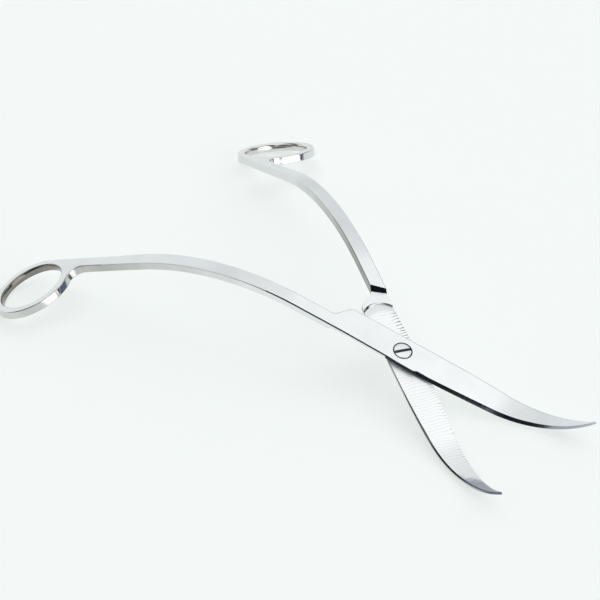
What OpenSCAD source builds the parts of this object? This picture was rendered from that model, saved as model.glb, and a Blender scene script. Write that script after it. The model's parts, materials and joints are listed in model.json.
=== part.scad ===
// Long wick-trimming scissors, bent on the flat: the handles drop to the finger rings, the middle slopes
// down to the pivot and the blade tips turn up, so that the blades reach the bottom of a deep jar.
//
// Each lever is drawn in a frame of its own: the pivot at the origin, +X along the straight middle towards
// the tip, +Y towards the blade's back and +Z up along the pivot. Both levers bend the same way along Z,
// and Z = 0 is the plane between them. The lower lever is mirrored in Y when it is put in place.

/* [Levers] */
// Angle between the two levers at rest
open_angle = 41; // [30:1:50]
// Thickness of the steel in the handles and rings
thick = 3; // [2.6:0.1:3.4]
// Width of a handle
handle_w = 5.2; // [4.8:0.1:5.6]
// How far a handle's inner edge passes the pivot's line
handle_inner = 0.25; // [0.1:0.05:0.3]

/* [Handles] */
// Straight length from the pivot back to the handle's bend
handle_flat = 39; // [36:0.5:42]
// Radius of the handle's bend
handle_bend_r = 88; // [80:1:95]
// Angle of the handle's bend
handle_bend = 40.5; // [38:0.5:43]
// Straight length from the handle's bend to the middle of the finger ring
ring_reach = 44.5; // [40:0.5:48]
// Outer radius of a finger ring
ring_r = 15; // [14:0.25:16]
// Wall of a finger ring, across its face
ring_wall = 3.25; // [3:0.05:3.6]
// Radius of the blend between a handle's outer edge and its ring
ring_blend = 4; // [3:0.25:5]

/* [Blades] */
// Straight length from the pivot to the blade's bend
blade_flat = 35; // [33:0.5:37]
// Radius of the blade's bend
blade_bend_r = 40; // [38:0.5:42]
// Angle that the blade turns up through
blade_bend = 57; // [54:0.5:60]
// Distance from the pivot's line to the blade's back
back_y = 5.6; // [5.2:0.1:6]
// Distance from the pivot's line to the cutting edge where it starts
edge_y = 5.7; // [5.4:0.1:6]
// Distance of the tip from the pivot's line, on the cutting edge's side
tip_y = 1.2; // [0.8:0.1:1.6]
// Thickness of a blade at its tip
tip_thick = 0.8; // [0.6:0.1:1]

/* [Pivot screw] */
// Radius of the head, which is let into the upper lever
head_r = 3; // [2.8:0.1:3.2]
// Thickness of the head that is let in
head_thick = 0.8; // [0.7:0.05:0.9]
// Radius of the shank, which the upper lever turns on
shank_r = 1.75; // [1.6:0.05:1.9]
// Radius of the threaded end, which is tight in the lower lever
thread_r = 1.5; // [1.3:0.05:1.5]
// Running clearance round and under the head and round the shank
fit_gap = 0.05; // [0.03:0.01:0.08]
// Width of the screwdriver slot
slot_w = 1.0; // [0.6:0.1:1.2]
// Direction of the screwdriver slot, from the lower lever's length
slot_turn = 88; // [0:1:180]

/* [Resting place] */
// Slope of the straight middle when the scissors lie on a table
table_tilt = 19.7; // [19:0.05:21]

/* [Hidden] */
$fn = 240;
STEEL = [0.80, 0.81, 0.83];
BRIGHT_STEEL = [0.72, 0.73, 0.75];

// The lap, where the levers are half as thick and lie on each other
half = thick / 2;
ride_gap = 0.03;      // from the middle plane to a riding face
ground_gap = 0.3;     // from the middle plane to a hollow-ground face
blade_gap = 0.1;      // from the middle plane to the turned-up blade's inner face
boss_r = 4.2;         // riding face round the pivot
ground_end_r = 8;     // round end of the hollow grinding
ground_end_x = -13.3; // middle of that round end
edge_x = 12;          // where the cutting edge starts and the lap ends
edge_slope = 0.04;    // slope of the cutting edge there
back_x = 15;          // where the blade's back starts to curve
tip_cut = 0.5;        // length taken off the sharp point
outline_steps = 15;   // short straights that follow each long curve of the plan

// The heel behind the pivot, the notch behind that, and the slanted shoulder up to full thickness
heel = [-20.6, 2.7];
heel_r = 3.2;
heel_back = 150;      // direction from the heel's middle to where its rounding meets the notch
notch_x = -26.3;
shoulder_in = -26.9;
shoulder_out = -24.7;
shoulder_lap = 2;     // length by which the lap runs into the shoulder

// The screw's head stands a little proud, and its slot goes down through most of it
head_proud = 0.1;
slot_deep = 0.5;

handle_outer = handle_inner - handle_w;
blade_len = blade_flat + blade_bend_r * blade_bend * PI / 180;
cut_len = blade_len - tip_cut;
edge_curve = (edge_y - tip_y - edge_slope * (blade_len - edge_x)) / pow(blade_len - edge_x, 2);

// Where a length u along a blade comes, seen along the pivot
function blade_x(u) = u <= blade_flat ? u
    : blade_flat + blade_bend_r * sin((u - blade_flat) / blade_bend_r * 180 / PI);

// The blade's back curves slowly down to the tip, and its cutting edge more slowly up to it
function back(u) = back_y - (back_y + tip_y) * pow(max(u - back_x, 0) / (blade_len - back_x), 2);
function edge(u) = -edge_y + edge_slope * (u - edge_x) + edge_curve * pow(u - edge_x, 2);

// Side view of the tip, from the start of the blade's bend: the point at a height w over the bent plane
function tip_at(w) = [blade_bend_r * sin(blade_bend), blade_bend_r * (1 - cos(blade_bend))]
    + w * [-sin(blade_bend), cos(blade_bend)];

// Radius of an arc that leaves (0, 0) along X and passes through p
function arc_r(p) = (p.x * p.x + p.y * p.y) / (2 * p.y);

// Plan of the lap and the blade
module blade_plan() {
    edge_u = [for (i = [0 : outline_steps]) edge_x + (cut_len - edge_x) * i / outline_steps];
    back_u = [for (i = [0 : outline_steps]) cut_len - (cut_len - back_x) * i / outline_steps];
    lap_x = shoulder_in - shoulder_lap;
    polygon(concat(
        [[notch_x, handle_inner], [lap_x, handle_inner], [lap_x, handle_outer], [heel.x, handle_outer]],
        [for (u = edge_u) [blade_x(u), edge(u)]],
        [for (u = back_u) [blade_x(u), back(u)]],
        [[heel.x, heel.y + heel_r], heel + heel_r * [cos(heel_back), sin(heel_back)]]));
    translate(heel) circle(heel_r);
}

// Side view of all that is above a face of the bend, which starts at height w and ends at height w_tip
module above_face(w, w_tip) {
    r = arc_r(tip_at(w_tip) - [0, w]);
    translate([0, w + r]) circle(r);
}

// Side view of a blade's bend, between its lower and its upper face
module bend_side(low, low_tip, high, high_tip) {
    translate([blade_flat, 0]) intersection() {
        difference() {
            above_face(low, low_tip);
            above_face(high, high_tip);
        }
        translate([0, -thick]) square([blade_bend_r, tip_at(0).y + 2 * thick]);
    }
}

// Side views of a lap and blade: the upper lever's, then the lower lever's
module upper_side() {
    polygon([[shoulder_in - shoulder_lap, ride_gap], [edge_x, ride_gap], [edge_x, ground_gap],
        [blade_flat, blade_gap], [blade_flat, half], [shoulder_in - shoulder_lap, half]]);
    bend_side(blade_gap, blade_gap, half, blade_gap + tip_thick);
}

module lower_side() {
    polygon([[shoulder_in - shoulder_lap, -ride_gap], [edge_x, -ride_gap], [edge_x, -ground_gap],
        [blade_flat, -blade_gap], [blade_flat, -half], [shoulder_in - shoulder_lap, -half]]);
    bend_side(-half, -blade_gap - tip_thick, -blade_gap, -blade_gap);
}

// Plan of the hollow grinding, with the boss left standing
module ground_plan() {
    difference() {
        union() {
            translate([ground_end_x, handle_inner]) circle(ground_end_r);
            translate([ground_end_x, -ground_end_r]) square([edge_x - ground_end_x, 2 * ground_end_r]);
        }
        circle(boss_r);
    }
}

// A lap and blade: the side view that is given, pushed across, and cut to the plan
module lap_and_blade() {
    intersection() {
        rotate([90, 0, 0]) linear_extrude(3 * ground_end_r, center = true) children();
        translate([0, 0, -thick]) linear_extrude(tip_at(0).y + 2 * thick) blade_plan();
    }
}

// Straight back of the lap, at full thickness
module shoulder_block() {
    translate([0, 0, -half]) linear_extrude(thick) polygon([[-handle_flat, handle_inner],
        [shoulder_in, handle_inner], [shoulder_out, handle_outer], [-handle_flat, handle_outer]]);
}

// Bent stretch of a handle
module handle_curve() {
    reach = handle_bend_r + thick;
    translate([0, handle_inner, 0]) rotate([90, 0, 0]) linear_extrude(handle_w)
        translate([-handle_flat, -handle_bend_r]) intersection() {
            difference() {
                circle(handle_bend_r + half);
                circle(handle_bend_r - half);
            }
            polygon([[0, 0], [0, reach], [-reach * tan(handle_bend / 2), reach],
                reach * [-sin(handle_bend), cos(handle_bend)]]);
        }
}

// Sloping end of a handle and its finger ring
module ring_end() {
    middle = [-ring_reach, handle_inner - ring_r];
    drop = handle_outer - ring_blend - middle.y;
    blend = [middle.x + sqrt(pow(ring_r + ring_blend, 2) - drop * drop), handle_outer - ring_blend];
    translate(bend_end) rotate([0, -handle_bend, 0]) translate([0, 0, -half]) difference() {
        linear_extrude(thick) difference() {
            union() {
                translate(middle) circle(ring_r);
                translate([middle.x, handle_outer]) square([ring_reach, handle_w]);
                polygon([[middle.x, handle_outer], middle, blend, [blend.x, handle_outer]]);
            }
            translate(blend) circle(ring_blend);
        }
        translate([middle.x, middle.y, -1]) cylinder(thick + 2, r = ring_r - ring_wall);
    }
}

// All of a lever but its pivot hole, with the side view of its lap and blade given
module lever_body() {
    lap_and_blade() children();
    shoulder_block();
    handle_curve();
    ring_end();
}

// Where things come on the table. The origin is under the middle of the whole, on the table.
bend_end = [-handle_flat - handle_bend_r * sin(handle_bend), 0, -handle_bend_r * (1 - cos(handle_bend))];
function turn_z(p, a) = [p.x * cos(a) - p.y * sin(a), p.x * sin(a) + p.y * cos(a), p.z];
function turn_y(p, a) = [p.x * cos(a) + p.z * sin(a), p.y, -p.x * sin(a) + p.z * cos(a)];
function on_table(p) = turn_y(turn_z(p, open_angle / 2), table_tilt);
ring_middle = on_table(bend_end + turn_y([-ring_reach, handle_inner - ring_r, 0], -handle_bend));
ring_normal = on_table(turn_y([0, 0, 1], -handle_bend));
tip_point = on_table([blade_flat + tip_at(blade_gap).x, -tip_y, tip_at(blade_gap).y]);

// How far a finger ring reaches from its middle along the direction d
function ring_extent(d) = ring_r * sqrt(1 - pow(d * ring_normal, 2)) + half * abs(d * ring_normal);
rear_x = ring_middle.x - ring_extent([1, 0, 0]);
pivot_at = [-(rear_x + tip_point.x) / 2, 0, ring_extent([0, 0, 1]) - ring_middle.z];

// Puts a lever on the table, turned by its share of the opening: side is 1 or -1
module place(side) {
    translate(pivot_at) rotate([0, table_tilt, 0]) rotate([0, 0, side * open_angle / 2]) children();
}

module upper_lever() {
    color(STEEL) place(1) difference() {
        lever_body() upper_side();
        linear_extrude(ground_gap) ground_plan();
        cylinder(thick, r = shank_r + fit_gap);
        translate([0, 0, half - head_thick - fit_gap]) cylinder(thick, r = head_r + fit_gap);
    }
}

module lower_lever() {
    color(STEEL) place(-1) mirror([0, 1, 0]) difference() {
        lever_body() lower_side();
        translate([0, 0, -ground_gap]) linear_extrude(ground_gap) ground_plan();
        translate([0, 0, -thick]) cylinder(thick, r = thread_r);
    }
}

module pivot_screw() {
    color(BRIGHT_STEEL) place(-1) difference() {
        union() {
            translate([0, 0, -half]) cylinder(thick, r = thread_r);
            translate([0, 0, -ride_gap]) cylinder(half, r = shank_r);
            translate([0, 0, half - head_thick]) cylinder(head_thick + head_proud, r = head_r);
        }
        rotate([0, 0, slot_turn]) translate([-2 * head_r, -slot_w / 2, half + head_proud - slot_deep])
            cube([4 * head_r, slot_w, thick]);
    }
}

upper_lever();
lower_lever();
pivot_screw();
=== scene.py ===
"""Long wick-trimming scissors in satin and polished steel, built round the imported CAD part.

Each lever is first modelled flat and unrolled, in millimetres: u runs along it towards the tip, t across it
towards the blade's back and w up through its thickness. The pivot is the origin, and w = 0 is the plane
between the levers. The flat lever is cut, sliced, bent to its side view and put where the CAD has it. The
lower lever is the same outline turned over. The main sizes repeat those of the CAD source. The rounded and
ground edges, the ramp, the slant of the shoulder and the screw's dome are the visible model's own.
"""

import json
import math

import bmesh
import bpy
from mathutils import Matrix, Vector


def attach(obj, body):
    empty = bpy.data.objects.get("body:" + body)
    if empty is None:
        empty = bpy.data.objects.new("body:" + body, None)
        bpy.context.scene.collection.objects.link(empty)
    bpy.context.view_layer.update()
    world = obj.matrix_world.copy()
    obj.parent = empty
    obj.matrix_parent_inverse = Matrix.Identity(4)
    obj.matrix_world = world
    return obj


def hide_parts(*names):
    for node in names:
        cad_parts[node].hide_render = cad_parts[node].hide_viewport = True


MM = 0.001

# Plan of a lever, in mm
OPEN_ANGLE = math.radians(41)
HALF = 1.5                 # half the full thickness
HANDLE_INNER = 0.25
HANDLE_OUTER = -4.95
RING_R = 15.0
FINGER_R = 11.75
BLEND_R = 4.0
HEEL = (-20.6, 2.7)
HEEL_R = 3.2
HEEL_TOP = 88              # degrees, where the heel's rounding starts
HEEL_BACK = 150            # and where it meets the fall into the notch
NOTCH_U = -26.3
NOTCH_R = 1.5
BACK_T = 5.6
BACK_U = 15.0              # where the blade's back starts to curve
EDGE_T = -5.7
EDGE_U = 12.0              # where the cutting edge starts to curve
EDGE_SLOPE = 0.04
TIP_T = -1.2
TIP_CUT = 0.5

# Side view of a lever, in mm
HANDLE_FLAT = 39.0
HANDLE_BEND_R = 88.0
HANDLE_BEND = math.radians(40.5)
RING_REACH = 44.5
BLADE_FLAT = 35.0
BLADE_BEND_R = 40.0
BLADE_BEND = math.radians(57)
TIP_OUTER = 0.9            # height of the outer face at the tip
TIP_INNER = 0.1            # and of the inner face

# What follows from these
BEND_END_U = -HANDLE_FLAT - HANDLE_BEND_R * HANDLE_BEND
RING_U = BEND_END_U - RING_REACH
BLADE_LEN = BLADE_FLAT + BLADE_BEND_R * BLADE_BEND
CUT_LEN = BLADE_LEN - TIP_CUT
EDGE_CURVE = (TIP_T - EDGE_T - EDGE_SLOPE * (BLADE_LEN - EDGE_U)) / (BLADE_LEN - EDGE_U) ** 2

# The lap between the levers, in mm
RIDE_W = 0.03              # height of the riding faces
GROUND_W = 0.3             # height of the hollow-ground faces
BOSS_R = 4.2
GROUND_END = (-13.3, 0.25)
GROUND_END_R = 8.0
SHOULDER_LOW = (-26.75, -24.65)   # inner and outer end of the shoulder's foot
SHOULDER_TOP = (-27.6, -25.0)     # and of its top

# The ramp at the round end of the grinding, in mm
RAMP_END = (-13.2, 1.3)
RAMP_END_R = 8.85
RAMP_DEEP = 0.62           # height that the wheel reached at the foot of the ramp
RAMP_OUT = [(1.2, 0.52), (2.8, 0.38), (4.6, GROUND_W)]   # and how it rises again, forward of that
RAMP_STEPS = (0, 0.25, 0.5, 0.75, 1)

# The edges and walls, in mm. ROUNDING is for the edges along the back and round the ring, CHAMFER for the
# ones opposite, and SPINE is the chamfer under the blade's back. The lists have (u, value) points.
BEVEL_U = 7.6              # where the cutting bevel is full
LEAN = [(BEVEL_U - 1, 0), (BEVEL_U, 1), (50, 1), (64, 0.3)]   # how much of its lean the bevel has
LEAN_MOST = 0.8
LEAN_SHARE = 0.3           # the most that it leans, as a share of the blade's width
LEAN_SPARE = 0.1           # width that it never takes
ROUNDING = [(-118, 0.36), (-60, 0.34), (-20, 0.34), (45, 0.30), (62, 0.2), (BLADE_LEN, 0.03)]
CHAMFER = [
    (-112, 0.36), (-98, 0.16), (-66, 0.14), (-44, 0.36), (-4, 0.36), (0, 0.20), (EDGE_U + 2, 0.06),
    (BLADE_LEN, 0.03),
]
FLATNESS = [(-95, 0), (-70, 1)]   # how flatly the handle's outer edges are cut, from 0, round, to 1
SPINE = [(-9, 0), (-6, 0.18), (12, 0.25), (30, 0.52), (60, 0.5), (BLADE_LEN - 4, 0)]
SPINE_START = 0.05         # how far under the ground face that chamfer starts
DRAFT = [(-122, 0.30), (-100, 0)]   # how far in the ring's wall is at its uppermost face
FINGER_CROWN = 0.55        # how much wider the finger hole is at its faces
FINGER_CROWN_W = 1.45      # height of the crowned part of its wall, to each side
LEVER_BLUNT = 0.07         # size of the blunted corners
SCREW_BLUNT = 0.05
SHARP_FROM_U = EDGE_U - 1  # where the cutting edge stays sharp
SHARP_ALL_U = BLADE_FLAT + 30   # and where every edge does

# The pivot, in mm
HEAD_R = 3.0
HEAD_RECESS_R = 3.4        # wider than in the CAD
HEAD_RECESS_W = 0.65
SHANK_R = 1.75
SHANK_HOLE_R = 1.8
THREAD_R = 1.5
THREAD_CHAMFER = 0.15
HEAD_LOW = 0.7
HEAD_CHAMFER = 0.05        # at the head's underside
HEAD_EDGE = 1.5
HEAD_ROUND = 0.22          # from the head's side to where the dome starts
HEAD_TOP = 1.62
HEAD_DOME = 1.7
SLOT_HALF = 0.55           # half the slot's width, also wider than in the CAD
SLOT_FLOOR = 1.08
SLOT_TURN = math.radians(88)
SLOT_WALL_R = HEAD_R - 0.02   # the slot's walls are within this radius
SLOT_WALL_W = (HEAD_LOW + 0.1, HEAD_TOP - 0.12)   # and between these heights

# Mesh fineness
ROUND_STEPS = 4            # faces round each rounded edge
CIRCLE_STEPS = 120
RING_STEPS = 110
BLEND_STEPS = 18
INNER_STEPS = 28           # along the handle's inner side
OUTER_STEPS = 24           # along its outer side
LAP_STEPS = 48             # along the lap's outer side
BEHIND_STEPS = 16          # along the straight of the back
FALL_STEPS = 4             # into the notch
BLADE_STEPS = 70
NOSE_STEPS = 6
HEEL_STEPS = 16
NOTCH_STEPS = 10
GROUND_END_STEPS = 60
CROWN_STEPS = 8
DOME_STEP = 0.4            # mm between the rings of the screw's dome
DOME_RINGS = 7
MITRE_LEAST = 0.75         # keeps the points at a corner from going far out
SLICE_HANDLE = 1.6         # mm between slices in the handle's bend
SLICE_BLADE = 1.0          # and in the blade's
SAME_PLACE = 1e-4          # mm within which two points are one
ON_SLICE = 1e-5            # and within which a point is on a slice
SAME_PLANE = math.radians(0.05)
CORNER = math.radians(48)  # sharper outward corners are blunted
SHARP = math.radians(33)   # sharper edges are shaded as edges

# The finishes of a lever's faces, in the order of its material slots. The dark finish is painted shade and
# dark reflection, and the edge finish is painted dark reflection.
SATIN, SIDE, GROUND, PAINTED_SHADE, BORE, EDGE = range(6)
SHOULDER_ZONE = (-30, -24)   # the lap's shoulder, along u
SHOULDER_FACING = 0.6      # the least forward part of its normal
LAP_PAINTED_SHADE_U = -4            # where the painted shade on the lap's side starts
LAP_PAINTED_SHADE_T = EDGE_T + 1.5  # how far in it goes
LAP_PAINTED_SHADE_LEVEL = 0.7       # and the most upright part of its normal
PIVOT_HOLES_R = HEAD_RECESS_R + 0.01   # the holes at the pivot are within this radius
PIVOT_HOLES_W = HALF - 0.1             # and their walls are under this height
BORE_REACH = FINGER_R + 0.6            # the finger hole's wall is within this radius
BEVEL_REACH = 1.2          # how far in from the cutting edge the bevel goes
SOFT_ZONE = (-118, -50)    # where the handle's outer edge is as satin as its face
SOFT_T = -4                # and how far out that is
BACK_ZONE_U = -45          # where the edges along the back start
BACK_SHARE = 0.8           # they are beyond this share of the back's t,
BACK_SPARE = 0.5           # less this
NOTCH_T = -0.3             # or behind the lap, beyond this
BACK_FACING = 0.1          # least part of their normals towards the back
SPINE_ZONE_U = -9          # where the chamfer under the back starts
TIP_ZONE = 4.5             # length of the tip, which is all one finish
GROUND_ZONE = (GROUND_W - 0.05, GROUND_W + 0.1)   # heights of the ground face
STEEP = 0.3                # a wall's normal has less of an upright part than this
LEVEL = 0.95               # and a face's normal has more than this
DEAD_LEVEL = 0.99          # or, along the back, than this

# Bare steel, with its fine lines and its faint clouds
LINES_DETAIL = 4.0
LINES_ROUGHNESS = 0.6
RUB = (0.3, 0.7)           # the part of the lines' range over which the roughness goes from least to most
CLOUD_SCALE = 0.12         # clouds per mm
CLOUD_DETAIL = 5.0
FADE_UNEVEN = 0.6          # how much the clouds disturb a fade

# The wheel's ticks across the ground faces, with places in mm
TICK_SCALE = 0.27
TICK_WANDER = 7.0          # how far from straight and even they are
TICK_DETAIL = 2.0
TICK_DETAIL_SCALE = 0.5
TICK_BELOW = 0.24          # each wave is a tick below this,
TICK_SOFT = 0.16           # and at its darkest this much lower
TICK_FADE = (6.0, 2.8)     # from the cutting edge: where they start, and where they are full
TICK_FADE_UNEVEN = 5.0     # how far that wanders
TICK_WORN_U = 26           # the middle of where they are worn
TICK_WORN = (12, 28)       # from there: how far they are worn most, and where no longer
TICK_WORN_LEFT = 0.3       # how much is left of the worn ones
TICK_LEAST = 0.085         # how strong they are everywhere
UNEVEN_SCALE = 0.55        # of the noise that makes them and the tip's colour uneven
UNEVEN_DETAIL = 3.0

# The darker colour towards the tip, with places in mm
TIP_FADE = (BLADE_LEN - 19, BLADE_LEN - 13)
TIP_FADE_UNEVEN = 6.0      # how far that wanders
TIP_SLANT = 0.9            # how much earlier it comes for each mm of t
TIP_SHARE = 0.85           # how strong it gets
SIDE_TIP_FADE = (BLADE_LEN - 20, BLADE_LEN - TIP_ZONE)

# The room's light, as colours. Each patch of sky has an azimuth and elevation, the radii where it ends and
# where it is full, all in degrees, and its colour.
WALLS = (0.77, 0.79, 0.80)
BACKDROP = (0.89, 0.93, 0.915)
SKY = [
    (62, 52, 27, 8, (1.38, 1.39, 1.38)),      # window to the right, behind
    (0, 88, 34, 14, (1.35, 1.35, 1.35)),      # overhead
    (165, 12, 45, 20, (0.92, 0.94, 0.95)),    # lit wall behind, to the left
    (62, 2, 26, 17, (0.14, 0.185, 0.26)),     # edge of the backdrop
    (133, 2, 12, 5, (0.52, 0.53, 0.54)),      # its corner
    (-142, 40, 24, 14, (0.08, 0.07, 0.06)),   # furniture to the left
    (-72, 6, 37, 29, (0.02, 0.024, 0.036)),   # unlit side, where the photographer stands
    (-112, -4, 30, 24, (0.03, 0.035, 0.055)), # and on to the left
    (2, 20, 46, 38, (0.02, 0.024, 0.036)),    # and to the right
    (5, 13, 31, 27, (1.9, 1.9, 1.9)),         # a low lamp in it
]

# The floor, in m, which glows as a light table does
FLOOR_HALF = 4.0
FLOOR_CELLS = 8
FLOOR_Z = -0.0001
FLOOR_COLOUR = (0.50, 0.555, 0.575, 1)
FLOOR_GLOW = (0.49, 0.485, 0.455, 1)
FLOOR_ROUGHNESS = 0.7
FLOOR_SHINE = 0.2

# The photograph's view. Places are in m, and the lens and the film in mm.
CAMERA_STAND = (0.4563, -0.4196, 0.5003)
CAMERA_AIM = (-0.0230, 0.0090, 0)
CAMERA_ROLL = math.radians(-2.49)
LENS = 136.5
FILM = 36

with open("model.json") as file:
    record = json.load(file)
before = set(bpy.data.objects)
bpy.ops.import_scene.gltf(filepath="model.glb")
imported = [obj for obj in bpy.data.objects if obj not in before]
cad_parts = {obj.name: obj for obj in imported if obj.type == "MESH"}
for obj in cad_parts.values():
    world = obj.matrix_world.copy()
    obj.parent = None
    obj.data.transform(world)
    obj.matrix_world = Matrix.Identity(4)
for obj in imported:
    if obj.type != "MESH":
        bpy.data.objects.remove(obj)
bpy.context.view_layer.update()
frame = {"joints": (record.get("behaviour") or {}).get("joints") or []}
PIVOT = frame["joints"][0]


# ---------------------------------------------------------------- plan of a lever

def between(table, u):
    """The value at u of a line through the table's (u, value) points."""
    if u <= table[0][0]:
        return table[0][1]
    for (u0, v0), (u1, v1) in zip(table, table[1:]):
        if u <= u1:
            return v0 + (v1 - v0) * (u - u0) / (u1 - u0)
    return table[-1][1]


def back(u):
    """The blade's back."""
    return BACK_T + (TIP_T - BACK_T) * (max(u - BACK_U, 0) / (BLADE_LEN - BACK_U)) ** 2


def edge(u):
    """The cutting edge."""
    return EDGE_T + EDGE_SLOPE * (u - EDGE_U) + EDGE_CURVE * (u - EDGE_U) ** 2


def lean(u):
    """How far the cutting bevel leans in between its sharp edge and the outer face."""
    return between(LEAN, u) * min(LEAN_MOST, LEAN_SHARE * max(0, back(u) - edge(u) - LEAN_SPARE))


def arc(centre, radius, start, end, steps):
    """Points on an arc. The angles are in degrees."""
    angles = [math.radians(start + (end - start) * i / steps) for i in range(steps + 1)]
    return [(centre[0] + radius * math.cos(a), centre[1] + radius * math.sin(a)) for a in angles]


def straight(a, b, steps):
    """Points inside a straight from a to b, without its ends."""
    shares = [i / steps for i in range(1, steps)]
    return [(a[0] + (b[0] - a[0]) * s, a[1] + (b[1] - a[1]) * s) for s in shares]


def ring_outline():
    """Round the finger ring and through the blend into the handle's outer edge."""
    middle = (RING_U, HANDLE_INNER - RING_R)
    drop = HANDLE_OUTER - BLEND_R - middle[1]
    reach = RING_R + BLEND_R
    blend = (middle[0] + math.sqrt(reach * reach - drop * drop), HANDLE_OUTER - BLEND_R)
    meet = math.degrees(math.asin(drop / reach))
    ring = arc(middle, RING_R, 90, 360 + meet, RING_STEPS)
    return ring + arc(blend, BLEND_R, 180 + meet, 90, BLEND_STEPS)[1:]


def blade_outline():
    """Along the cutting edge, and round the tip and back along the blade's back."""
    cutting = [EDGE_U + (CUT_LEN - EDGE_U) * i / BLADE_STEPS for i in range(BLADE_STEPS + 1)]
    over = [CUT_LEN - (CUT_LEN - BACK_U) * i / BLADE_STEPS for i in range(BLADE_STEPS + 1)]
    middle = (edge(CUT_LEN) + back(CUT_LEN)) / 2
    radius = (back(CUT_LEN) - edge(CUT_LEN)) / 2
    nose = arc((CUT_LEN, middle), radius, -90, 90, NOSE_STEPS)[1:-1]
    return [(u, edge(u)) for u in cutting], nose + [(u, back(u)) for u in over]


def heel_outline():
    """Round the heel and down into the notch behind it."""
    heel = arc(HEEL, HEEL_R, HEEL_TOP, HEEL_BACK, HEEL_STEPS)
    fall = Vector((NOTCH_U, HANDLE_INNER)) - Vector(heel[-1])
    turn = math.atan2(-fall.y, -fall.x)
    reach = NOTCH_R * math.tan(turn / 2)
    middle = (NOTCH_U - reach, HANDLE_INNER + NOTCH_R)
    notch = arc(middle, NOTCH_R, math.degrees(turn) - 90, -90, NOTCH_STEPS)
    return heel + straight(heel[-1], notch[0], FALL_STEPS) + notch


def outline():
    """The plan, counter-clockwise, as (u, t, lean of the side, size of its edges, how flatly they are cut,
    size of the chamfer between the side and the ground face)."""
    ring, heel = ring_outline(), heel_outline()
    cutting, over = blade_outline()
    lap = (HEEL[0], HANDLE_OUTER)
    near = straight(ring[-1], lap, OUTER_STEPS) + [lap] + straight(lap, cutting[0], LAP_STEPS)
    far = over + straight(over[-1], heel[0], BEHIND_STEPS)
    after = heel + straight(heel[-1], (RING_U, HANDLE_INNER), INNER_STEPS)
    return (
        [(u, t, 0, between(ROUNDING, u), 0, 0) for u, t in ring]
        + [(u, t, lean(u), between(CHAMFER, u), between(FLATNESS, u), 0) for u, t in near]
        + [(u, t, lean(u), between(CHAMFER, u), 1, 0) for u, t in cutting]
        + [(u, t, 0, between(ROUNDING, u), 0, between(SPINE, u)) for u, t in far]
        + [(u, t, 0, between(ROUNDING, u), 0, 0) for u, t in after]
    )


def outward(points):
    """The outward direction at each point of a counter-clockwise plan, longer at a corner."""
    found = []
    for i, point in enumerate(points):
        before = (Vector(point[:2]) - Vector(points[i - 1][:2])).normalized()
        after = (Vector(points[(i + 1) % len(points)][:2]) - Vector(point[:2])).normalized()
        way = Vector((before.y + after.y, -before.x - after.x)).normalized()
        found.append(way / max(MITRE_LEAST, way.dot(Vector((after.y, -after.x)))))
    return found


# ---------------------------------------------------------------- mesh building

def link(name, data):
    """A new object in the scene."""
    made = bpy.data.objects.new(name, data)
    bpy.context.scene.collection.objects.link(made)
    return made


def solid(name, loops):
    """A closed mesh through loops of points, all counter-clockwise, from the lowest to the highest."""
    bm = bmesh.new()
    rings = [[bm.verts.new(p) for p in loop] for loop in loops]
    count = len(rings[0])
    for low, high in zip(rings, rings[1:]):
        for i in range(count):
            j = (i + 1) % count
            bm.faces.new((low[i], low[j], high[j], high[i]))
    bm.faces.new(rings[0][::-1])
    bm.faces.new(rings[-1])
    mesh = bpy.data.meshes.new(name)
    bm.to_mesh(mesh)
    bm.free()
    return link(name, mesh)


def lathe(name, profile, middle=(0, 0)):
    """A solid turned about an upright line, from (radius, height) points that go upwards."""
    turns = [2 * math.pi * i / CIRCLE_STEPS for i in range(CIRCLE_STEPS)]
    return solid(name, [
        [(middle[0] + r * math.cos(a), middle[1] + r * math.sin(a), w) for a in turns]
        for r, w in profile
    ])


def cut(target, cutter):
    """Takes the cutter out of the target, and removes it."""
    modifier = target.modifiers.new("cut", "BOOLEAN")
    modifier.operation = "DIFFERENCE"
    modifier.solver = "EXACT"
    modifier.object = cutter
    seen = target.evaluated_get(bpy.context.evaluated_depsgraph_get())
    mesh = bpy.data.meshes.new_from_object(seen)
    target.modifiers.clear()
    spent = target.data
    target.data = mesh
    bpy.data.meshes.remove(spent)
    bpy.data.objects.remove(cutter)


def flat_lever(name, side):
    """The flat lever before it is cut: full thickness all along, with rounded edges. The ring's outer wall
    is narrower at the face that will be uppermost, as a pressed ring is."""
    points = outline()
    ways = outward(points)
    turns = [math.pi / 2 * i / ROUND_STEPS for i in range(ROUND_STEPS + 1)]
    levels = [(-1, a) for a in turns] + [(0, 0), (0, 1)] + [(1, a) for a in reversed(turns)]
    low = GROUND_W - SPINE_START
    loops = []
    for end, a in levels:
        loop = []
        for (u, t, slope, size, flatness, under), way in zip(points, ways):
            share = a / (math.pi / 2)
            down = (1 - flatness) * (1 - math.cos(a)) + flatness * share
            inwards = (1 - flatness) * (1 - math.sin(a)) + flatness * (1 - share)
            w = end * (HALF - size * down) if end else low + a * (SPINE_START + under)
            inset = size * inwards if end else 0
            inset += under if w <= low else 0
            inset += slope * max(0, (w - low) / (HALF - low))
            inset += between(DRAFT, u) * (1 + side * w / HALF) / 2
            loop.append((u - way.x * inset, t - way.y * inset, w))
        loops.append(loop)
    return solid(name, loops)


def lap_cutter():
    """Everything under the riding face, forward of the slanted shoulder."""
    span = 12
    ahead = BLADE_LEN + span
    loops = []
    for w in (-2 * HALF, RIDE_W):
        share = (RIDE_W - w) / (RIDE_W + HALF)
        inner, outer = (a + (b - a) * share for a, b in zip(SHOULDER_LOW, SHOULDER_TOP))
        slope = (outer - inner) / (HANDLE_OUTER - HANDLE_INNER)
        far, near = (inner + slope * (t - HANDLE_INNER) for t in (span, -span))
        loops.append([(near, -span, w), (ahead, -span, w), (ahead, span, w), (far, span, w)])
    return solid("lap_cutter", loops)


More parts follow.
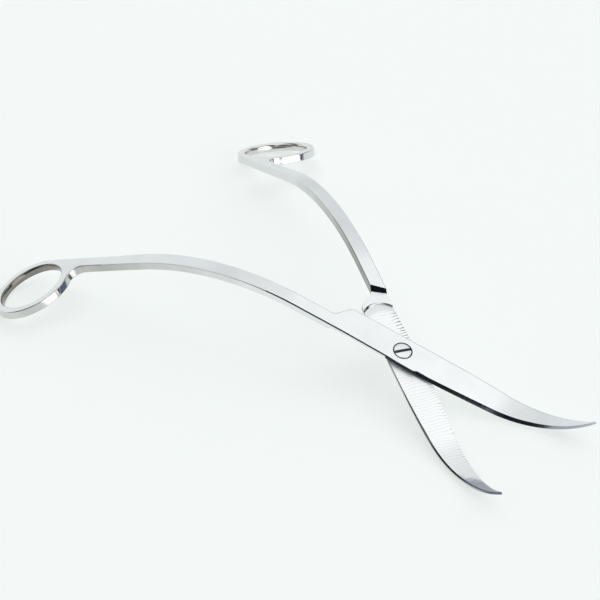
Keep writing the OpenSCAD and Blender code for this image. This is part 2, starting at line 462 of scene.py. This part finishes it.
def ground_cutter():
    """The hollow grinding: a little more is taken off round the boss, with a ramp at the round end."""
    span = 14
    ahead = BLADE_LEN + span
    rows = [(0, 0, -HALF)]
    rows += [(s, 0, RIDE_W + (RAMP_DEEP - RIDE_W) * s * s) for s in RAMP_STEPS]
    rows += [(1, forward, w) for forward, w in RAMP_OUT]
    loops = []
    for share, forward, w in rows:
        middle = [a + (b - a) * share for a, b in zip(RAMP_END, GROUND_END)]
        middle[0] += forward
        radius = RAMP_END_R + (GROUND_END_R - RAMP_END_R) * share
        end = arc(middle, radius, 90, 270, GROUND_END_STEPS)
        wide, far = span - forward - share, ahead - forward - share
        plan = [(far, -wide), (far, wide), (0, wide)] + end + [(0, -wide)]
        loops.append([(u, t, w) for u, t in plan])
    cutter = solid("ground_cutter", loops)
    rise = HALF - RIDE_W
    cut(cutter, lathe("boss", [(BOSS_R, -2 * HALF), (BOSS_R, RIDE_W), (BOSS_R + rise, HALF)]))
    return cutter


def finger_cutter():
    """The finger hole, whose wall is crowned so that it is easy on a finger."""
    turns = [math.pi / 2 * i / CROWN_STEPS for i in range(CROWN_STEPS + 1)]
    flare = [
        (FINGER_R + FINGER_CROWN * (1 - math.sin(a)), HALF - FINGER_CROWN_W * (1 - math.cos(a)))
        for a in turns
    ]
    wide = flare[0][0]
    up = [(r, w) for r, w in reversed(flare)] + [(wide, 2 * HALF)]
    down = [(wide, -2 * HALF)] + [(r, -w) for r, w in flare]
    return lathe("finger_cutter", down + up, (RING_U, HANDLE_INNER - RING_R))


def hole(name, radius, low=-2 * HALF):
    """A cutter for a round hole at the pivot, from a height upwards."""
    return lathe(name, [(radius, low), (radius, 2 * HALF)])


def corners(bm):
    """The edges that stand out sharply."""
    return [e for e in bm.edges if len(e.link_faces) == 2 and e.calc_face_angle_signed(0) >= CORNER]


def stays_sharp(e):
    """True for the cutting edge and the tip."""
    middle = (e.verts[0].co + e.verts[1].co) / 2
    on_edge = middle.x > SHARP_FROM_U and middle.y < edge(middle.x) + 1
    return on_edge or middle.x >= SHARP_ALL_U


def blunt(bm, edges, size):
    """Takes the sharpness off edges."""
    bmesh.ops.bevel(
        bm, geom=edges, offset=size, segments=2, profile=0.5, affect="EDGES", clamp_overlap=True,
    )


def slices():
    """Where the flat lever is sliced across, so that it bends smoothly."""
    handle = math.ceil(HANDLE_BEND_R * HANDLE_BEND / SLICE_HANDLE)
    blade = math.ceil(BLADE_BEND_R * BLADE_BEND / SLICE_BLADE)
    found = [-HANDLE_FLAT - HANDLE_BEND_R * HANDLE_BEND * i / handle for i in range(handle + 1)]
    found += [BLADE_FLAT + BLADE_BEND_R * BLADE_BEND * i / blade for i in range(blade)]
    return found + [LAP_PAINTED_SHADE_U, EDGE_U, (EDGE_U + BLADE_FLAT) / 2]


def on_painted_shade_part(face, middle):
    """True on the faces painted dark as shade and dark reflection: the shoulder, the lap's outer side and
    the walls of the holes at the pivot.
    """
    normal = face.normal
    behind = SHOULDER_ZONE[0] < middle.x < SHOULDER_ZONE[1]
    shoulder = behind and middle.z < RIDE_W and normal.x > SHOULDER_FACING
    beside = LAP_PAINTED_SHADE_U < middle.x < BEVEL_U and middle.y < LAP_PAINTED_SHADE_T
    lap_side = beside and abs(normal.z) < LAP_PAINTED_SHADE_LEVEL
    reach = max(math.hypot(v.co.x, v.co.y) for v in face.verts)
    return shoulder or lap_side or reach < PIVOT_HOLES_R and middle.z < PIVOT_HOLES_W


def on_bore(face):
    """True on the wall of the finger hole."""
    ring_t = HANDLE_INNER - RING_R
    return all(math.hypot(v.co.x - RING_U, v.co.y - ring_t) < BORE_REACH for v in face.verts)


# These faces get the edge finish, which is painted dark as a dark reflection
def on_edge_part(face, middle):
    """True on the cutting bevel, on the edges along the blade's back, and round the tip."""
    u, t, normal = middle.x, middle.y, face.normal
    on_bevel = u > BEVEL_U and t < edge(u) + BEVEL_REACH and normal.y < -STEEP
    inner = BACK_SHARE * back(u) - BACK_SPARE if u > SHOULDER_ZONE[1] else NOTCH_T
    at_back = u > BACK_ZONE_U and t > inner and normal.y > BACK_FACING
    under = u > SPINE_ZONE_U and -LEVEL < normal.z < -STEEP
    at_tip = u > BLADE_LEN - TIP_ZONE and abs(normal.z) < LEVEL
    return on_bevel or at_back and (under or STEEP < normal.z < DEAD_LEVEL) or at_tip


def finish_of(face):
    """Which finish a face of the flat lever has."""
    middle = face.calc_center_median()
    level = abs(face.normal.z)
    if on_painted_shade_part(face, middle):
        return PAINTED_SHADE
    if on_bore(face):
        return BORE
    if on_edge_part(face, middle):
        return EDGE
    soft = SOFT_ZONE[0] < middle.x < SOFT_ZONE[1] and middle.y < SOFT_T and level > STEEP
    if level < LEVEL and not soft:
        return SIDE
    if GROUND_ZONE[0] < middle.z < GROUND_ZONE[1]:
        return GROUND
    return SATIN


def bent(u, w):
    """Where a point of the flat lever comes in its side view, along and up."""
    if u < BEND_END_U:
        beyond = BEND_END_U - u
        x, z = bent(BEND_END_U, w)
        return x - beyond * math.cos(HANDLE_BEND), z - beyond * math.sin(HANDLE_BEND)
    if u < -HANDLE_FLAT:
        a = (-HANDLE_FLAT - u) / HANDLE_BEND_R
        radius = HANDLE_BEND_R + w
        return -HANDLE_FLAT - radius * math.sin(a), radius * math.cos(a) - HANDLE_BEND_R
    if u < BLADE_FLAT:
        return u, w
    a = (u - BLADE_FLAT) / BLADE_BEND_R
    radius = BLADE_BEND_R - w
    return BLADE_FLAT + radius * math.sin(a), BLADE_BEND_R - radius * math.cos(a)


def thinned(u, w):
    """The height of a point after the blade has been ground thinner towards its tip."""
    if u <= EDGE_U:
        return w
    inner = between([(EDGE_U, GROUND_W), (BLADE_FLAT, TIP_INNER)], u)
    outer = between([(BLADE_FLAT, HALF), (BLADE_LEN, TIP_OUTER)], u)
    return inner + (outer - inner) * (w - GROUND_W) / (HALF - GROUND_W)


def place(side):
    """The matrix that puts a lever's own frame, in mm, where the CAD has it. side is 1 or -1."""
    axis = Vector(PIVOT["axis"])
    turn = Matrix.Rotation(math.atan2(axis.x, axis.z), 4, "Y")
    open_out = Matrix.Rotation(side * OPEN_ANGLE / 2, 4, "Z")
    return Matrix.Translation(PIVOT["pos_m"]) @ turn @ open_out @ Matrix.Scale(MM, 4)


def settle(made, matrix):
    """Puts the mesh in place, and sets how it is shaded and split into triangles."""
    mesh = made.data
    mesh.transform(matrix)
    bm = bmesh.new()
    bm.from_mesh(mesh)
    bmesh.ops.recalc_face_normals(bm, faces=bm.faces)
    for e in bm.edges:
        e.smooth = len(e.link_faces) == 2 and e.calc_face_angle(0) < SHARP
    for f in bm.faces:
        f.smooth = True
    bm.to_mesh(mesh)
    bm.free()
    weighted = made.modifiers.new("weighted", "WEIGHTED_NORMAL")
    weighted.keep_sharp = True
    weighted.weight = 80
    split = made.modifiers.new("split", "TRIANGULATE")
    split.ngon_method = "BEAUTY"
    split.min_vertices = 5
    split.keep_custom_normals = True


def paint(made, bm, finishes, which):
    """Gives the object its edited mesh and finishes, and each face the one that which(face) says. It also
    stores each point's place on the flat, unrolled lever, in mm, for the materials."""
    bm.normal_update()
    for f in bm.faces:
        f.material_index = which(f)
    mesh = made.data
    mesh.materials.clear()
    for finish in finishes:
        mesh.materials.append(finish)
    bm.to_mesh(mesh)
    bm.free()
    attribute = mesh.attributes.new("unrolled", "FLOAT_VECTOR", "POINT")
    for i, v in enumerate(mesh.vertices):
        attribute.data[i].vector = v.co


def lever(name, side, holes, finishes):
    """A whole lever: cut flat, sliced, bent and put in place. side is 1 for the upper one and -1 for the
    lower one."""
    made = flat_lever(name, side)
    for cutter in [lap_cutter(), ground_cutter(), finger_cutter()] + holes:
        cut(made, cutter)
    bm = bmesh.new()
    bm.from_mesh(made.data)
    bmesh.ops.remove_doubles(bm, verts=bm.verts, dist=SAME_PLACE)
    bmesh.ops.dissolve_limit(bm, angle_limit=SAME_PLANE, verts=bm.verts, edges=bm.edges)
    blunt(bm, [e for e in corners(bm) if not stays_sharp(e)], LEVER_BLUNT)
    for u in slices():
        everything = bm.verts[:] + bm.edges[:] + bm.faces[:]
        bmesh.ops.bisect_plane(
            bm, geom=everything, dist=ON_SLICE, plane_co=(u, 0, 0), plane_no=(1, 0, 0),
        )
    paint(made, bm, finishes, finish_of)
    for v in made.data.vertices:
        u, t, w = v.co
        x, z = bent(u, side * thinned(u, w))
        v.co = (x, side * t, z)
    settle(made, place(side))
    return made


def in_slot(face):
    """1 on the walls of the screw's slot, where the second finish goes, painted dark as shade, and 0
    elsewhere.
    """
    middle = face.calc_center_median()
    inside = math.hypot(middle.x, middle.y) < SLOT_WALL_R
    return int(inside and SLOT_WALL_W[0] < middle.z < SLOT_WALL_W[1])


def screw(name, finishes):
    """The pivot screw: a low domed head with a slot, its shank, and an end flush with the lower lever."""
    crown = HEAD_R - HEAD_ROUND
    radii = [crown - DOME_STEP * i for i in range(DOME_RINGS)]
    made = lathe(name, [
        (THREAD_R - THREAD_CHAMFER, -HALF), (THREAD_R, -HALF + THREAD_CHAMFER), (THREAD_R, -RIDE_W),
        (SHANK_R, -RIDE_W), (SHANK_R, HEAD_LOW),
        (HEAD_R - HEAD_CHAMFER, HEAD_LOW), (HEAD_R, HEAD_LOW + HEAD_CHAMFER), (HEAD_R, HEAD_EDGE),
    ] + [(r, HEAD_TOP + (HEAD_DOME - HEAD_TOP) * (1 - (r / crown) ** 2)) for r in radii])
    far = 2 * HEAD_R
    plan = [(-far, -SLOT_HALF), (far, -SLOT_HALF), (far, SLOT_HALF), (-far, SLOT_HALF)]
    slot = solid("slot", [[(x, y, w) for x, y in plan] for w in (SLOT_FLOOR, 2 * HALF)])
    slot.data.transform(Matrix.Rotation(SLOT_TURN, 4, "Z"))
    cut(made, slot)
    bm = bmesh.new()
    bm.from_mesh(made.data)
    bmesh.ops.remove_doubles(bm, verts=bm.verts, dist=SAME_PLACE)
    blunt(bm, corners(bm), SCREW_BLUNT)
    paint(made, bm, finishes, in_slot)
    settle(made, place(-1))
    return made


# ---------------------------------------------------------------- shader nodes

def mix(tree, share, a, b):
    """A colour that goes from a to b. Each is a socket or a colour."""
    made = tree.nodes.new("ShaderNodeMix")
    made.data_type = "RGBA"
    tree.links.new(share, made.inputs["Factor"])
    for name, value in (("A", a), ("B", b)):
        if isinstance(value, tuple):
            made.inputs[name].default_value = (*value, 1)
        else:
            tree.links.new(value, made.inputs[name])
    return made.outputs["Result"]


def maths(tree, operation, *values):
    """One sum. Each value is a number or a socket."""
    made = tree.nodes.new("ShaderNodeMath")
    made.operation = operation
    for entry, value in zip(made.inputs, values):
        if isinstance(value, (int, float)):
            entry.default_value = value
        else:
            tree.links.new(value, entry)
    return made.outputs["Value"]


def remap(tree, value, start, end, low=0.0, high=1.0, smooth=False):
    """A number that goes from low to high as the value goes from start to end, and stays there."""
    made = tree.nodes.new("ShaderNodeMapRange")
    if smooth:
        made.interpolation_type = "SMOOTHSTEP"
    for name, number in (("From Min", start), ("From Max", end), ("To Min", low), ("To Max", high)):
        made.inputs[name].default_value = number
    tree.links.new(value, made.inputs["Value"])
    return made.outputs["Result"]


def noise(tree, where, scale, detail, roughness=0.5):
    """Soft noise, from 0 to 1."""
    made = tree.nodes.new("ShaderNodeTexNoise")
    made.inputs["Scale"].default_value = scale
    made.inputs["Detail"].default_value = detail
    made.inputs["Roughness"].default_value = roughness
    tree.links.new(where, made.inputs["Vector"])
    return made.outputs["Fac"]


def unrolled(tree):
    """A point's place on the flat lever, whole and as its u and t."""
    where = tree.nodes.new("ShaderNodeAttribute")
    where.attribute_name = "unrolled"
    parts = tree.nodes.new("ShaderNodeSeparateXYZ")
    tree.links.new(where.outputs["Vector"], parts.inputs["Vector"])
    return where.outputs["Vector"], parts.outputs["X"], parts.outputs["Y"]


def recolour(tree, share, colour):
    """Lays a colour over the one that the shader has, by share."""
    entry = tree.nodes["Principled BSDF"].inputs["Base Color"]
    tree.links.new(mix(tree, share, entry.links[0].from_socket, colour), entry)


# ---------------------------------------------------------------- materials

def steel(name, colours, roughness, grain, grain_depth, smudge=0.05, fade=None):
    """Bare steel. grain stretches the fine lines along u, t and w, in lines per mm. grain_depth is in mm.
    With fade, (u, reach), the first colour is round that u and the second is beyond the reach. The darker
    colour of each fade here is painted dark reflection."""
    material = bpy.data.materials.new(name)
    material.use_nodes = True
    tree = material.node_tree
    shader = tree.nodes["Principled BSDF"]
    shader.inputs["Metallic"].default_value = 1.0
    where, u, _ = unrolled(tree)
    stretch = tree.nodes.new("ShaderNodeMapping")
    stretch.inputs["Scale"].default_value = grain
    tree.links.new(where, stretch.inputs["Vector"])
    lines = noise(tree, stretch.outputs["Vector"], 1.0, LINES_DETAIL, LINES_ROUGHNESS)
    cloud = noise(tree, where, CLOUD_SCALE, CLOUD_DETAIL)
    share = cloud
    if fade:
        off = maths(tree, "ABSOLUTE", maths(tree, "SUBTRACT", u, fade[0]))
        uneven = maths(tree, "MULTIPLY_ADD", cloud, FADE_UNEVEN, -FADE_UNEVEN / 2)
        share = maths(tree, "ADD", maths(tree, "DIVIDE", off, fade[1]), uneven)
    tree.links.new(mix(tree, share, *colours), shader.inputs["Base Color"])
    rub = remap(tree, lines, *RUB, *roughness)
    tree.links.new(maths(tree, "MULTIPLY_ADD", cloud, smudge, rub), shader.inputs["Roughness"])
    relief = tree.nodes.new("ShaderNodeBump")
    relief.inputs["Strength"].default_value = 1.0
    relief.inputs["Distance"].default_value = grain_depth * MM
    tree.links.new(lines, relief.inputs["Height"])
    tree.links.new(relief.outputs["Normal"], shader.inputs["Normal"])
    return material


def scored(material, tick_colour, tip_colour):
    """Adds the fine dark ticks that a coarse wheel leaves across the steel, and a darker colour towards the
    tip. The ticks are strongest at the cutting edge, fade out away from it, unevenly, and are worn half way
    along the blade. The tip's colour starts along a slanting, uneven line."""
    tree = material.node_tree
    where, u, t = unrolled(tree)
    waves = tree.nodes.new("ShaderNodeTexWave")
    waves.bands_direction = "X"
    waves.inputs["Scale"].default_value = TICK_SCALE
    waves.inputs["Distortion"].default_value = TICK_WANDER
    waves.inputs["Detail"].default_value = TICK_DETAIL
    waves.inputs["Detail Scale"].default_value = TICK_DETAIL_SCALE
    tree.links.new(where, waves.inputs["Vector"])
    uneven = noise(tree, where, UNEVEN_SCALE, UNEVEN_DETAIL)
    below = maths(tree, "SUBTRACT", TICK_BELOW, waves.outputs["Fac"])
    ticks = maths(tree, "DIVIDE", below, TICK_SOFT)
    from_edge = maths(tree, "SUBTRACT", t, EDGE_T)
    near = remap(tree, maths(tree, "MULTIPLY_ADD", uneven, TICK_FADE_UNEVEN, from_edge), *TICK_FADE)
    from_middle = maths(tree, "ABSOLUTE", maths(tree, "SUBTRACT", u, TICK_WORN_U))
    worn = remap(tree, from_middle, *TICK_WORN, TICK_WORN_LEFT)
    strength = maths(tree, "MAXIMUM", maths(tree, "MULTIPLY", worn, near), TICK_LEAST)
    share = maths(tree, "MULTIPLY", maths(tree, "MAXIMUM", ticks, 0), strength)
    recolour(tree, maths(tree, "MINIMUM", share, 1), tick_colour)
    slanting = maths(tree, "MULTIPLY_ADD", t, TIP_SLANT, u)
    slanting = maths(tree, "MULTIPLY_ADD", uneven, TIP_FADE_UNEVEN, slanting)
    recolour(tree, remap(tree, slanting, *TIP_FADE, 0, TIP_SHARE, smooth=True), tip_colour)


def darker_tip(material, colour):
    """Leads a side's colour over into the colour of the blade's tip."""
    tree = material.node_tree
    _, u, _ = unrolled(tree)
    recolour(tree, remap(tree, u, *SIDE_TIP_FADE, smooth=True), colour)


BUFFED = {"grain": (2, 6, 9), "grain_depth": 0.001, "smudge": 0.02}

satin = steel("satin_steel", ((0.72, 0.74, 0.75), (0.87, 0.89, 0.89)), (0.26, 0.37), (1.5, 14, 6), 0.006)
# The upper lever's sides: polished steel, painted darker round the finger ring as a dark reflection
polished = steel(
    "polished_steel", ((0.50, 0.495, 0.48), (0.84, 0.845, 0.84)), (0.05, 0.10), fade=(-115, 65), **BUFFED,
)
# The lower lever's sides: a little rougher, and painted darker, most round u = -38 behind the shoulder, as a
# reflection of shade
rougher_and_shaded_side = steel(
    "rougher_and_shaded_side_steel", ((0.32, 0.315, 0.295), (0.72, 0.73, 0.73)), (0.08, 0.14), fade=(-38, 60), **BUFFED,
)
ground = steel("ground_steel", ((0.90, 0.91, 0.91), (0.95, 0.96, 0.96)), (0.40, 0.50), (3.4, 0.2, 1), 0.006)
# Painted shade and dark reflection: near-black steel for the shoulder, the lap's side, the holes at the
# pivot and the screw's slot
dark = steel("painted_shade_steel", ((0.02, 0.026, 0.032), (0.05, 0.06, 0.075)), (0.12, 0.20), (3, 3, 3), 0.002)
# The upper lever's cutting bevel, back edges and tip: painted dark as a dark reflection, darkest round u =
# 28
bevel = steel(
    "upper_edges_painted_dark_steel", ((0.13, 0.14, 0.17), (0.55, 0.56, 0.64)), (0.12, 0.20), fade=(28, 55), **BUFFED,
)
# The lower lever's cutting bevel, back edges and tip: painted dark the same way, darkest towards the tip
back_bevel = steel(
    "lower_edges_painted_dark_steel", ((0.10, 0.11, 0.14), (0.45, 0.47, 0.50)), (0.12, 0.20), fade=(66, 66), **BUFFED,
)
# The finger hole's wall, in a shaded and a lit copy: darker on the upper lever as painted shade, paler on
# the lower lever as painted light
bore = steel("upper_bore_painted_shade_steel", ((0.14, 0.13, 0.115), (0.38, 0.37, 0.34)), (0.10, 0.18), **BUFFED)
pale_bore = steel("lower_bore_painted_light_steel", ((0.52, 0.50, 0.47), (0.92, 0.91, 0.89)), (0.10, 0.18), **BUFFED)
bright = steel("bright_steel", ((0.74, 0.75, 0.76), (0.84, 0.85, 0.85)), (0.36, 0.44), **BUFFED)
scored(ground, (0.10, 0.11, 0.13), (0.34, 0.35, 0.42))
darker_tip(polished, (0.48, 0.49, 0.56))
darker_tip(rougher_and_shaded_side, (0.12, 0.14, 0.19))

upper = lever(
    "upper_blade", 1, [hole("recess", HEAD_RECESS_R, HEAD_RECESS_W), hole("shank_hole", SHANK_HOLE_R)],
    [satin, polished, ground, dark, bore, bevel],
)
lower = lever(
    "lower_blade", -1, [hole("thread_hole", THREAD_R)],
    [satin, rougher_and_shaded_side, ground, dark, pale_bore, back_bevel],
)
pivot_screw = screw("screw", [bright, dark])

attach(upper, "upper")
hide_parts("upper_lever")
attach(lower, "lower")
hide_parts("lower_lever")
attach(pivot_screw, "lower")
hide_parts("pivot_screw")


# ---------------------------------------------------------------- floor, light and camera

def direction(azimuth, elevation):
    """A unit vector. Azimuth 0 is +X and 90 is +Y, in degrees."""
    a, e = math.radians(azimuth), math.radians(elevation)
    return Vector((math.cos(a) * math.cos(e), math.sin(a) * math.cos(e), math.sin(e)))


def floor():
    """A large plain sheet that the scissors lie on."""
    bm = bmesh.new()
    bmesh.ops.create_grid(bm, x_segments=FLOOR_CELLS, y_segments=FLOOR_CELLS, size=FLOOR_HALF)
    mesh = bpy.data.meshes.new("floor")
    bm.to_mesh(mesh)
    bm.free()
    made = link("floor", mesh)
    made.location.z = FLOOR_Z
    material = bpy.data.materials.new("floor")
    material.use_nodes = True
    shader = material.node_tree.nodes["Principled BSDF"]
    shader.inputs["Base Color"].default_value = FLOOR_COLOUR
    shader.inputs["Roughness"].default_value = FLOOR_ROUGHNESS
    shader.inputs["Specular IOR Level"].default_value = FLOOR_SHINE
    shader.inputs["Emission Color"].default_value = FLOOR_GLOW
    shader.inputs["Emission Strength"].default_value = 1.0
    mesh.materials.append(material)


def lobe(tree, way, towards, outer, inner):
    """A soft round patch of the sky: 1 within inner degrees of the direction towards, 0 beyond outer."""
    dot = tree.nodes.new("ShaderNodeVectorMath")
    dot.operation = "DOT_PRODUCT"
    dot.inputs[1].default_value = towards
    tree.links.new(way, dot.inputs[0])
    start, end = math.cos(math.radians(outer)), math.cos(math.radians(inner))
    return remap(tree, dot.outputs["Value"], start, end, smooth=True)


def studio():
    """A pale room: patches of sky, each laid over the ones before it, and plain where the camera sees it."""
    world = bpy.data.worlds.new("studio")
    bpy.context.scene.world = world
    world.use_nodes = True
    tree = world.node_tree
    way = tree.nodes.new("ShaderNodeTexCoord").outputs["Generated"]
    room = WALLS
    for azimuth, elevation, outer, inner, colour in SKY:
        room = mix(tree, lobe(tree, way, direction(azimuth, elevation), outer, inner), room, colour)
    seen = tree.nodes.new("ShaderNodeLightPath")
    room = mix(tree, seen.outputs["Is Camera Ray"], room, BACKDROP)
    tree.links.new(room, tree.nodes["Background"].inputs["Color"])


def softbox(name, towards, distance, size, power):
    """A square area light that faces the object."""
    data = bpy.data.lights.new(name, "AREA")
    data.shape = "SQUARE"
    data.size = size
    data.energy = power
    made = link(name, data)
    made.location = towards * distance
    made.rotation_mode = "QUATERNION"
    made.rotation_quaternion = (-towards).to_track_quat("-Z", "Y")


def camera():
    """The photograph's view: 80 cm away, a long lens, tipped slightly."""
    data = bpy.data.cameras.new("camera")
    data.lens = LENS
    data.sensor_width = FILM
    made = link("camera", data)
    stand, aim = Vector(CAMERA_STAND), Vector(CAMERA_AIM)
    level = (aim - stand).to_track_quat("-Z", "Y").to_matrix().to_4x4()
    made.matrix_world = Matrix.Translation(stand) @ level @ Matrix.Rotation(CAMERA_ROLL, 4, "Z")
    data.clip_start, data.clip_end = 0.01, 20
    bpy.context.scene.camera = made


floor()
studio()
softbox("key", direction(60, 50), distance=1.2, size=0.5, power=0.1)
camera()
bpy.context.scene.view_settings.view_transform = "Standard"
